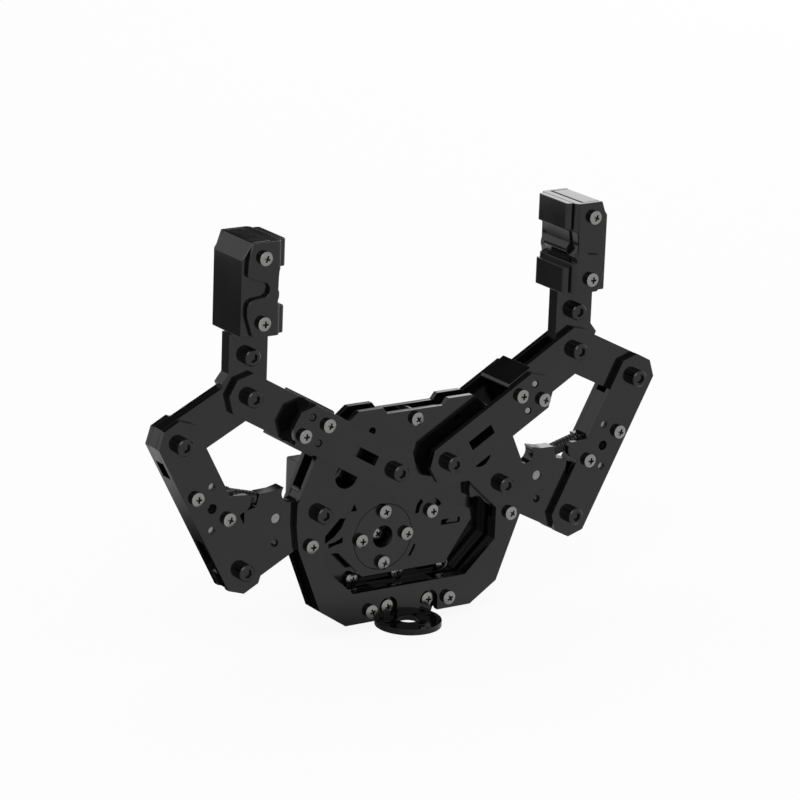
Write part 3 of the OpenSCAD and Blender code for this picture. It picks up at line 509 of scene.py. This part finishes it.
def fastener_tree():
    """Pins, pan screws, and socket head screws and bolts with nuts, one at each point."""
    t = TreeMaker("Screws and Bolts")
    pan_d, pan_h = t.size("Pan Head Diameter"), t.size("Pan Head Height")
    slot_l, slot_w = t.size("Recess Length"), t.size("Recess Width")
    cap_d, cap_h = t.size("Cap Head Diameter"), t.size("Cap Head Height")
    socket_w = t.size("Socket Width")
    nut_w, nut_h = t.size("Nut Width"), t.size("Nut Height")
    seed = t.size("Seed", "NodeSocketInt")
    bright, dark = (t.size(f"{name} Steel", "NodeSocketMaterial") for name in ("Bright", "Black"))

    pan = pan_head(t, pan_d, pan_h, slot_l, slot_w, bright, dark)
    cap = socket_head(t, cap_d, cap_h, socket_w)
    nut_ball = t.moved(t.ball(t.share(nut_w, NUT_BALL), 48, 32), t.vector(z=t.share(nut_h, 0.5)),
                       scale=(1.0, 1.0, NUT_FLAT))
    nut = t.common(t.disc(t.share(nut_w, CORNER), nut_h, 6), nut_ball)
    rod = t.disc(1.0, 1.0, 32, -1.0)

    kind = t.attribute("kind")
    is_bright = t.math("MULTIPLY", t.math("LESS_THAN", kind, PAN_SCREW + 0.5),
                       t.math("GREATER_THAN", kind, PIN - 0.5))
    is_dark = t.math("SUBTRACT", 1.0, is_bright)
    is_pan = t.math("MULTIPLY", is_bright, t.math("GREATER_THAN", kind, PAN_SCREW - 0.5))
    is_cap = t.math("GREATER_THAN", kind, SOCKET_SCREW - 0.5)
    has_nut = t.math("GREATER_THAN", kind, SOCKET_BOLT - 0.5)

    turn = t.node("FunctionNodeEulerToRotation", Euler=t.attribute("turn", "FLOAT_VECTOR"))
    draw = t.node("FunctionNodeRandomValue", 1, data_type="FLOAT", Seed=seed)
    own_turn = t.node("FunctionNodeEulerToRotation", Euler=t.vector(z=t.share(draw, 2.0 * math.pi)))
    pans = t.placed(pan, is_pan, turn)
    caps = t.placed(cap, is_cap, turn, t.attribute("size", "FLOAT_VECTOR"))
    pans, caps = (t.node("GeometryNodeRotateInstances", Instances=heads, Local_Space=True,
                         Rotation=own_turn) for heads in (pans, caps))
    back = t.vector(z=t.share(t.attribute("grip"), -1.0))
    nuts = t.node("GeometryNodeTranslateInstances", Instances=t.placed(nut, has_nut, turn),
                  Translation=back, Local_Space=True)
    radius = t.attribute("radius")
    shank = t.vector(radius, radius, t.attribute("length"))
    bright_rods = t.painted(t.placed(rod, is_bright, turn, shank), bright)
    dark_pieces = t.painted(t.join(caps, nuts, t.placed(rod, is_dark, turn, shank)), dark)
    return t.finish(t.join(pans, bright_rods, dark_pieces))


def pan_head(t, width, height, slot_l, slot_w, bright, dark):
    """A domed head with a cross recess, with painted shade: its steep side and recess walls are painted dark below
    its bright crown.
    """
    radius = t.share(width, 0.5)
    dome_r = t.share(width, PAN_DOME)
    dome = t.moved(t.ball(dome_r, 36, 36), t.vector(z=t.math("SUBTRACT", height, dome_r)))
    crown_r = t.share(radius, PAN_CROWN)
    brim = t.cone(crown_r, t.math("ADD", crown_r, t.share(height, PAN_BRIM)), height, 36)
    head = t.common(t.disc(radius, height, 36), dome, brim)
    blade = t.vector(slot_l, slot_w, t.share(height, BLADE_HEIGHT))
    for angle in (0.0, math.pi / 2):
        bar = t.node("GeometryNodeMeshCube", Size=blade)
        head = t.cut(head, t.moved(bar, t.vector(z=height), (0.0, 0.0, angle)))
    well = t.cone(t.share(slot_l, WELL_TOP), t.share(slot_l, WELL_FOOT), height, 4)
    head = t.cut(head, t.moved(well, t.vector(z=t.share(height, WELL_Z))))
    rise = t.node("ShaderNodeSeparateXYZ", 2, Vector=t.node("GeometryNodeInputNormal"))
    # Painted shade: faces that do not face up take the dark steel, so the side and recess walls read as shaded and
    # the crown as lit.
    return t.painted(t.painted(head, bright), dark, t.math("LESS_THAN", rise, PAN_SHADED_SIDE))


def socket_head(t, width, height, socket_w):
    """A knurled cylinder with a sloped rim and a hexagon socket."""
    radius = t.share(width, 0.5)
    face_r = t.share(radius, CAP_FACE)
    odd = t.math("GREATER_THAN", t.math("MODULO", t.node("GeometryNodeInputIndex"), 2.0), 0.5)
    drawn_in = t.node("ShaderNodeVectorMath", operation="MULTIPLY",
                      At_0=t.node("GeometryNodeInputPosition"), At_1=(KNURL, KNURL, 1.0))
    barrel = t.node("GeometryNodeSetPosition", Geometry=t.disc(radius, height, 64), Selection=odd,
                    Position=drawn_in)
    slope = t.cone(face_r, t.math("ADD", face_r, height), height, 64)
    floor_z = t.math("SUBTRACT", height, t.share(socket_w, SOCKET_DEPTH))
    return t.cut(t.common(barrel, slope), t.disc(t.share(socket_w, CORNER), height, 6, floor_z))


COIL_STEPS, WIRE_SIDES = 28, 8


def spring_tree():
    """A compression spring with closed ends at each point."""
    t = TreeMaker("Coil Spring")
    radius, wire = t.size("Coil Radius"), t.size("Wire Radius")
    length, turns = t.size("Length"), t.size("Turns")
    material = t.size("Spring Steel", "NodeSocketMaterial")
    mean = t.math("SUBTRACT", radius, wire)
    thick = t.share(wire, 2.0)
    rise = t.math("SUBTRACT", length, t.share(thick, 2.0))
    coil = t.node("GeometryNodeCurveSpiral", Resolution=COIL_STEPS, Rotations=turns, Start_Radius=mean,
                  End_Radius=mean, Height=rise)
    coil = t.moved(coil, t.vector(z=thick))
    ring = t.node("GeometryNodeCurvePrimitiveCircle", Resolution=COIL_STEPS, Radius=mean)
    low = t.moved(ring, t.vector(z=wire))
    high = t.moved(ring, t.vector(z=t.math("SUBTRACT", length, wire)))
    section = t.node("GeometryNodeCurvePrimitiveCircle", Resolution=WIRE_SIDES, Radius=wire)
    spring = t.node("GeometryNodeCurveToMesh", Curve=t.join(coil, low, high), Profile_Curve=section,
                    Fill_Caps=True)
    turn = t.node("FunctionNodeEulerToRotation", Euler=t.attribute("turn", "FLOAT_VECTOR"))
    return t.finish(t.painted(t.placed(spring, True, turn), material))


def grown(points, values, tree, inputs):
    """The mesh that a tree makes on a set of points with stored values."""
    mesh = bpy.data.meshes.new("points")
    mesh.from_pydata([tuple(p) for p in points], [], [])
    for key, rows in values.items():
        vector = isinstance(rows[0], (tuple, list))
        layer = mesh.attributes.new(key, "FLOAT_VECTOR" if vector else "FLOAT", "POINT")
        layer.data.foreach_set("vector" if vector else "value", np.array(rows, np.float32).ravel())
    obj = linked(mesh)
    mod = obj.modifiers.new("Grow", "NODES")
    mod.node_group = tree
    for item in tree.interface.items_tree:
        if item.in_out == "INPUT" and item.name in inputs:
            mod[item.identifier] = inputs[item.name]
    result = applied(obj)
    smooth(result, GROWN_CREASE)
    return result


# ---------- operators ----------


class GRIPPER_OT_plates(bpy.types.Operator):
    """Finishes the body plates, links, cranks and finger plates"""

    bl_idname = "gripper.plates"
    bl_label = "Plates and Links"

    def execute(self, context):
        ease = context.scene.gripper_plates.ease
        names = ["front_body_plate", "rear_body_plate", "rim_spacer", "gear_cover", "plate_spacers",
                 "upper_pivot_spacers", "flange_bracket", "wrist_flange"]
        for side in SIDES:
            names += [f"{side}_{plate}" for plate in (
                "crank", "outer_link_front", "outer_link_rear", "outer_link_spacer", "inner_link_front",
                "inner_link_rear", "upper_link_front", "upper_link_rear", "finger_plate")]
        for name in names:
            eased(name, ease, "gloss_black_plate")
        for side in SIDES:
            eased(f"{side}_link_block", 2.0 * ease, "gloss_black_plate", 3)
        return {"FINISHED"}


# How a fastener's kind and shank are told from its solid
FLANGE_TOP = 4.0 * MM      # the flange's sunk screws lie below this
SUNK_HEAD = 0.36           # their heads' height, as a share of their width
PIN_SHARE = 0.9            # a pin is narrower than this share of a pan head
CAP_SHARE = 1.1            # a socket head is wider than this share of a pan head
NUT_SHARE = 1.05           # a bolt with a nut is wider than this share of a socket head
CRANK_PIN = 3.5 * MM       # pins narrower than this are the outer links' own
PIN_SINK = 0.7 * MM        # how deep such a pin's end lies
UPPER_PIN_SHARE = 0.4      # upper link pin's radius, as a share of its solid's width
LINK_PIN_R = 1.8 * MM      # an outer link's own pin is thinner than this
SMALL_R, PAN_R, BOLT_R = 1.25 * MM, 1.5 * MM, 2.0 * MM
NUT_BACK = 0.4 * MM        # how far a nut sits from the shank's end
FACING_FRONT = (math.pi / 2, 0.0, 0.0)
FACING_BACK = (-math.pi / 2, 0.0, 0.0)
FACING_DOWN = (math.pi, 0.0, 0.0)


def seat(at, turn, kind, length, radius, grip=0.0, size=(1.0, 1.0, 1.0)):
    """A fastener's place and sizes, as the tree's points hold them."""
    return {"at": at, "turn": turn, "kind": kind, "size": size, "length": float(length),
            "radius": float(radius), "grip": float(grip)}


class GRIPPER_OT_fasteners(bpy.types.Operator):
    """Makes the screws, bolts and nuts of each body"""

    bl_idname = "gripper.fasteners"
    bl_label = "Screws and Bolts"

    def execute(self, context):
        p = context.scene.gripper_fasteners
        mats = finishes()
        tree = fastener_tree()
        inputs = {
            "Pan Head Diameter": p.pan_diameter, "Pan Head Height": p.pan_height,
            "Recess Length": p.recess_length, "Recess Width": p.recess_width,
            "Cap Head Diameter": p.cap_diameter, "Cap Head Height": p.cap_height,
            "Socket Width": p.socket_width, "Nut Width": p.nut_width, "Nut Height": p.nut_height,
            "Seed": p.seed, "Bright Steel": mats["bright_steel"], "Black Steel": mats["black_oxide"]}
        groups = {"base": ["body_screws", "crank_bolts", "upper_pivot_bolts", "flange_screws",
                           "actuator_screws", "idler_axle"],
                  "drive": ["hub_screws"]}
        for side in SIDES:
            groups[f"{side}_crank_arm"] = [f"{side}_outer_link_fasteners"]
            groups[f"{side}_upper_link"] = [f"{side}_upper_link_fasteners"]
            groups[f"{side}_finger"] = [f"{side}_finger_fasteners"]
        for body, nodes in groups.items():
            seats = []
            for node in nodes:
                seats += self.read(node, p)
            values = {key: [one[key] for one in seats] for key in seats[0] if key != "at"}
            mesh = grown([one["at"] for one in seats], values, tree, inputs)
            add_piece(body + "_fasteners", mesh, None, body, *nodes)
        return {"FINISHED"}

    def read(self, node, p):
        """Where a node's pins, screws and bolts sit, from its solids."""
        seats = []
        for part in islands(node):
            low, high = part.min(axis=0), part.max(axis=0)
            if node == "flange_screws" and low[2] + high[2] < 2.0 * FLANGE_TOP:
                seats.append(self.sunk_screw(p, low, high))
            elif high[0] - low[0] < PIN_SHARE * p.pan_diameter:
                seats.append(self.pin(node, low, high))
            else:
                seats.append(self.headed(node, p, low, high))
                if node == "idler_axle":
                    seats.append(self.axle(seats[-1], low, high))
        if node.endswith("outer_link_fasteners"):
            seats.append(self.mirrored_pin(seats))
        return seats

    def sunk_screw(self, p, low, high):
        """A screw that is sunk into the wrist flange from below."""
        centre, size = (low + high) / 2, high - low
        head = SUNK_HEAD * size[0]
        across = float(size[0] / p.cap_diameter)
        scale = (across, across, float(head / p.cap_height))
        return seat((centre[0], centre[1], low[2] + head), FACING_DOWN, SOCKET_SCREW, size[2] - head,
                    SMALL_R, size=scale)

    def pin(self, node, low, high):
        """A plain pin, whose end lies in its hole."""
        centre, size = (low + high) / 2, high - low
        upper = node.endswith("upper_link_fasteners")
        sunk = 0.0 if upper or size[0] > CRANK_PIN else PIN_SINK
        kind = DARK_PIN if node == "left_upper_link_fasteners" else PIN
        radius = size[0] * (UPPER_PIN_SHARE if upper else 0.5)
        return seat((centre[0], low[1] + sunk, centre[2]), FACING_FRONT, kind, size[1] - sunk, radius)

    def headed(self, node, p, low, high):
        """A pan screw, or a socket head screw or bolt."""
        centre, size = (low + high) / 2, high - low
        cap = size[0] > p.pan_diameter * CAP_SHARE
        nut = size[0] > p.cap_diameter * NUT_SHARE
        head = p.cap_height if cap else p.pan_height
        length = size[1] - head
        y, facing = low[1] + head, FACING_FRONT
        if node == "actuator_screws":
            y, facing = high[1] - head, FACING_BACK
        kind = SOCKET_BOLT if nut else (SOCKET_SCREW if cap else PAN_SCREW)
        radius = BOLT_R if cap else (SMALL_R if node == "hub_screws" else PAN_R)
        return seat((centre[0], y, centre[2]), facing, kind, length, radius, length - NUT_BACK)

    def axle(self, screw, low, high):
        """The idler's axle, from the gear cover's back to the end of its solid."""
        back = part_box("gear_cover")[1][1]
        x, _, z = screw["at"]
        radius = (high[0] - low[0]) / 2
        return seat((x, back, z), FACING_FRONT, PIN, high[1] - back, radius, screw["grip"])

    def mirrored_pin(self, seats):
        """The outer link's second pin, opposite its first about the link's middle."""
        first, second = [one["at"] for one in seats if one["kind"] > PAN_SCREW + 0.5][:2]
        pin = next(one for one in seats if one["kind"] == PIN and one["radius"] < LINK_PIN_R)
        x, y, z = pin["at"]
        return {**pin, "at": (first[0] + second[0] - x, y, first[2] + second[2] - z)}


FACE_SLACK = 0.02 * MM  # points on a spring's end face lie within this of one another along its axis


class GRIPPER_OT_springs(bpy.types.Operator):
    """Coils the springs between the cranks and the outer links"""

    bl_idname = "gripper.springs"
    bl_label = "Springs"

    def execute(self, context):
        p = context.scene.gripper_springs
        tree = spring_tree()
        for side in SIDES:
            part = islands(f"{side}_spring")[0]
            middle = part.mean(axis=0)
            axis = self.axis(part - middle)
            half = abs((part - middle) @ axis).max()
            turn = Vector((0.0, 0.0, 1.0)).rotation_difference(Vector(axis)).to_euler()
            inputs = {"Coil Radius": float((part[:, 1].max() - part[:, 1].min()) / 2),
                      "Wire Radius": p.wire / 2, "Length": float(2 * half), "Turns": p.turns,
                      "Spring Steel": finishes()["spring_black"]}
            mesh = grown([tuple(middle - axis * half)], {"turn": [tuple(turn)]}, tree, inputs)
            add_piece(f"{side}_coil_spring", mesh, None, f"{side}_crank_arm", f"{side}_spring")
        return {"FINISHED"}

    def axis(self, points):
        """The direction in which a tube's points all lie on its two end faces."""
        for direction in np.linalg.svd(points, full_matrices=False)[2]:
            reach = abs(points @ direction)
            if reach.max() - reach.min() < FACE_SLACK:
                return direction
        raise RuntimeError("a spring's solid has no flat ends")


# Widths of the eased edges of the gears, the casing, its cover and the motor can
GEAR_EASE, CASING_EASE, COVER_EASE, CAN_EASE = 0.12 * MM, 0.5 * MM, 0.4 * MM, 0.3 * MM


class GRIPPER_OT_gears(bpy.types.Operator):
    """Finishes the gears, the hub and the output horn"""

    bl_idname = "gripper.gears"
    bl_label = "Gear Train"

    def execute(self, context):
        for node in ("drive_gear", "idler_gear", "output_horn"):
            eased(node, GEAR_EASE, "gear_black")
        return {"FINISHED"}


class GRIPPER_OT_actuator(bpy.types.Operator):
    """Finishes the actuator's casing, cover and motor can"""

    bl_idname = "gripper.actuator"
    bl_label = "Actuator"

    def execute(self, context):
        eased("actuator_casing", CASING_EASE, "satin_black_casing", 3)
        eased("actuator_cover", COVER_EASE, "gloss_black_moulding", 3)
        eased("motor_can", CAN_EASE, "motor_black", 3)
        return {"FINISHED"}


class GRIPPER_OT_fingertips(bpy.types.Operator):
    """Finishes the housings, jaw clips, pads and grip inserts"""

    bl_idname = "gripper.fingertips"
    bl_label = "Fingertips"

    def execute(self, context):
        p = context.scene.gripper_fingertips
        for side in SIDES:
            eased(f"{side}_tip_housing", p.ease, "gloss_black_moulding", 3)
            eased(f"{side}_jaw_clip", 0.6 * p.ease, "gloss_black_moulding", 3)
            eased(f"{side}_pads", 0.6 * p.ease, "gloss_black_pad", 3)
            eased(f"{side}_grip_insert", 0.5 * p.ease, "gloss_black_pad", 2)
        return {"FINISHED"}


WHITE = (1.0, 1.0, 1.0, 1.0)
FLOOR_WHITE = 0.9      # share of the floor that the camera sees as plain white
FLOOR_MIRRORED = 0.75  # strength of the floor in the object's finish
SKY_MIRRORED = 0.74    # strength of the sky in the object's finish
SKY_SOFT = 0.8         # strength of the sky as a light
DARK_REFLECTION_STRENGTH = 0.03      # strength of the painted dark reflections in the object's finish
# Painted shade on the floor, seen only in the object's glossy finish: a painted contact shadow under the body and
# a dark patch behind and to the left that darkens the left-facing sides; place, near and far edge, strength inside
FLOOR_PAINTED_SHADE = (((-0.31, 0.45, 0.0), 0.13, 0.2, 0.14), ((-0.045, 0.06, 0.0), 0.045, 0.12, 0.0))
# Painted dark reflections: round dark patches of the sky, seen only in the object's glossy finish: direction,
# angle across half the patch, soft edge
PAINTED_DARK_REFLECTIONS = (((0.371, 0.897, 0.242), 9.8, 1.0), ((0.11, 0.78, 0.616), 20.0, 6.0))
SOFT_BOXES = {"key_box": ((1.36, 1.07, 0.95), 5.5), "front_box": ((-0.9, -1.2, 1.5), 10.0)}
BOX_SIZE = 1.2
BOX_AIM = Vector((0.0, 0.0, 0.1))
CAMERA_AIM = Vector((0.5 * MM, 12.7 * MM, 37.8 * MM))  # from the point between the crank pivots


class GRIPPER_OT_stage(bpy.types.Operator):
    """Sets the floor, the lights and the camera"""

    bl_idname = "gripper.stage"
    bl_label = "Stage"

    def execute(self, context):
        p = context.scene.gripper_stage
        scene = context.scene
        self.floor(p)
        self.world(scene)
        self.lamps(scene)
        self.camera(scene, p)
        scene.view_settings.view_transform = "Standard"
        return {"FINISHED"}

    def floor(self, p):
        """A pale floor that reads white to the camera and keeps a soft shadow, with patches of painted shade that
        only the object's reflections see.
        """
        half = p.floor_size / 2
        mesh = bpy.data.meshes.new("floor")
        corners = [(-half, -half, 0), (half, -half, 0), (half, half, 0), (-half, half, 0)]
        mesh.from_pydata(corners, [], [(0, 1, 2, 3)])
        floor = bpy.data.objects.new("floor", mesh)
        bpy.context.scene.collection.objects.link(floor)
        mat, nodes, links, shader = new_material("pale_floor")
        shader.inputs["Roughness"].default_value = 0.9
        shader.inputs["Specular IOR Level"].default_value = 0.0
        shader.inputs["Base Color"].default_value = (*p.floor_color, 1.0)
        rays = nodes.new("ShaderNodeLightPath")
        coord = nodes.new("ShaderNodeTexCoord")
        strength = FLOOR_MIRRORED
        # Painted shade: inside each patch the floor's strength in reflections drops, as a painted contact shadow
        # and painted dark reflections.
        for spot, near, far, low in FLOOR_PAINTED_SHADE:
            reach = joined(nodes, links, "ShaderNodeVectorMath",
                           {0: coord.outputs["Object"], 1: spot}, operation="DISTANCE")
            fade = joined(nodes, links, "ShaderNodeMapRange",
                          {"Value": reach.outputs["Value"], "From Min": near, "From Max": far,
                           "To Min": low}, interpolation_type="SMOOTHSTEP")
            product = joined(nodes, links, "ShaderNodeMath",
                             {0: fade.outputs["Result"], 1: strength}, operation="MULTIPLY")
            strength = product.outputs["Value"]
        white = joined(nodes, links, "ShaderNodeEmission", {"Strength": 1.0})
        mirrored = joined(nodes, links, "ShaderNodeEmission", {"Strength": strength})
        camera_share = joined(nodes, links, "ShaderNodeMath",
                              {0: rays.outputs["Is Camera Ray"], 1: FLOOR_WHITE}, operation="MULTIPLY")
        glossy = joined(nodes, links, "ShaderNodeMath",
                        {0: rays.outputs["Is Glossy Ray"], 1: rays.outputs["Is Transmission Ray"]},
                        operation="MAXIMUM")
        seen = mixed(nodes, links, camera_share.outputs["Value"], shader.outputs["BSDF"],
                     white.outputs["Emission"])
        both = mixed(nodes, links, glossy.outputs["Value"], seen, mirrored.outputs["Emission"])
        links.new(both, nodes["Material Output"].inputs["Surface"])
        mesh.materials.append(mat)

    def world(self, scene):
        """White to the camera, a softer white to the object, with painted dark reflections in its glossy finish.
        """
        world = bpy.data.worlds.new("studio")
        scene.world = world
        world.use_nodes = True
        nodes, links = world.node_tree.nodes, world.node_tree.links
        rays = nodes.new("ShaderNodeLightPath")
        coord = nodes.new("ShaderNodeTexCoord")
        strength = SKY_MIRRORED
        # Painted dark reflections: inside each round patch the sky's strength in glossy rays drops, so tops and
        # sides reflect darkness that nothing casts.
        for direction, edge, fade in PAINTED_DARK_REFLECTIONS:
            toward = joined(nodes, links, "ShaderNodeVectorMath",
                            {0: coord.outputs["Generated"], 1: direction}, operation="DOT_PRODUCT")
            outer, inner = (math.cos(math.radians(edge + half)) for half in (fade / 2, -fade / 2))
            dark_reflection = joined(nodes, links, "ShaderNodeMapRange",
                          {"Value": toward.outputs["Value"], "From Min": outer, "From Max": inner,
                           "To Min": strength, "To Max": DARK_REFLECTION_STRENGTH}, interpolation_type="SMOOTHSTEP")
            strength = dark_reflection.outputs["Result"]
        soft = nodes["Background"]
        soft.inputs["Color"].default_value = WHITE
        soft.inputs["Strength"].default_value = SKY_SOFT
        white = joined(nodes, links, "ShaderNodeBackground", {"Color": WHITE})
        mirrored = joined(nodes, links, "ShaderNodeBackground", {"Color": WHITE, "Strength": strength})
        lit = mixed(nodes, links, rays.outputs["Is Glossy Ray"], soft.outputs["Background"],
                    mirrored.outputs["Background"])
        both = mixed(nodes, links, rays.outputs["Is Camera Ray"], lit, white.outputs["Background"])
        links.new(both, nodes["World Output"].inputs["Surface"])

    def lamps(self, scene):
        """Two broad soft boxes."""
        for name, (spot, watts) in SOFT_BOXES.items():
            lamp = bpy.data.lights.new(name, "AREA")
            lamp.shape = "SQUARE"
            lamp.size = BOX_SIZE
            lamp.energy = watts
            obj = bpy.data.objects.new(name, lamp)
            obj.location = spot
            obj.rotation_euler = (BOX_AIM - Vector(spot)).to_track_quat("-Z", "Y").to_euler()
            obj.visible_camera = False
            scene.collection.objects.link(obj)

    def camera(self, scene, p):
        """The camera, aimed from its azimuth, elevation and roll."""
        pivot = next(j for j in frame["joints"] if j["name"] == "right_crank_pivot")["pos_m"]
        aim = Vector((0.0, 0.0, pivot[2])) + CAMERA_AIM
        level = math.cos(p.elevation)
        forward = Vector((level * math.sin(p.azimuth), level * math.cos(p.azimuth), -math.sin(p.elevation)))
        data = bpy.data.cameras.new("camera")
        data.sensor_width = 36.0
        data.lens = p.lens
        data.clip_start = 0.05
        camera = bpy.data.objects.new("camera", data)
        place = Matrix.Translation(aim - forward * p.distance)
        turn = forward.to_track_quat("-Z", "Y").to_matrix().to_4x4()
        camera.matrix_world = place @ turn @ Matrix.Rotation(p.roll, 4, "Z")
        scene.collection.objects.link(camera)
        scene.camera = camera


class GRIPPER_PT_sidebar(bpy.types.Panel):
    """Lists the gripper's pieces"""

    bl_idname = "GRIPPER_PT_sidebar"
    bl_label = "Gripper"
    bl_space_type = "VIEW_3D"
    bl_region_type = "UI"
    bl_category = "Gripper"

    def draw(self, context):
        for operator in OPERATORS:
            self.layout.operator(operator.bl_idname)


OPERATORS = (GRIPPER_OT_stage, GRIPPER_OT_plates, GRIPPER_OT_fasteners, GRIPPER_OT_springs,
             GRIPPER_OT_gears, GRIPPER_OT_actuator, GRIPPER_OT_fingertips)
SETTINGS = {"gripper_plates": PlateSettings, "gripper_fasteners": FastenerSettings,
            "gripper_springs": SpringSettings, "gripper_fingertips": FingertipSettings,
            "gripper_stage": StageSettings}


def register():
    for name, group in SETTINGS.items():
        bpy.utils.register_class(group)
        setattr(bpy.types.Scene, name, PointerProperty(type=group))
    for cls in OPERATORS + (GRIPPER_PT_sidebar,):
        bpy.utils.register_class(cls)


def unregister():
    for cls in reversed(OPERATORS + (GRIPPER_PT_sidebar,)):
        bpy.utils.unregister_class(cls)
    for name, group in SETTINGS.items():
        delattr(bpy.types.Scene, name)
        bpy.utils.unregister_class(group)


def main():
    register()
    bpy.ops.gripper.stage()
    bpy.ops.gripper.plates()
    bpy.ops.gripper.fasteners()
    bpy.ops.gripper.springs()
    bpy.ops.gripper.gears()
    bpy.ops.gripper.actuator()
    bpy.ops.gripper.fingertips()
    # The frame's own nodes are all stood for by pieces; they get the plates' finish all the same.
    for node in frame["nodes"].values():
        node.data.materials.clear()
        node.data.materials.append(finishes()["gloss_black_plate"])


if __name__ == "__main__":
    main()
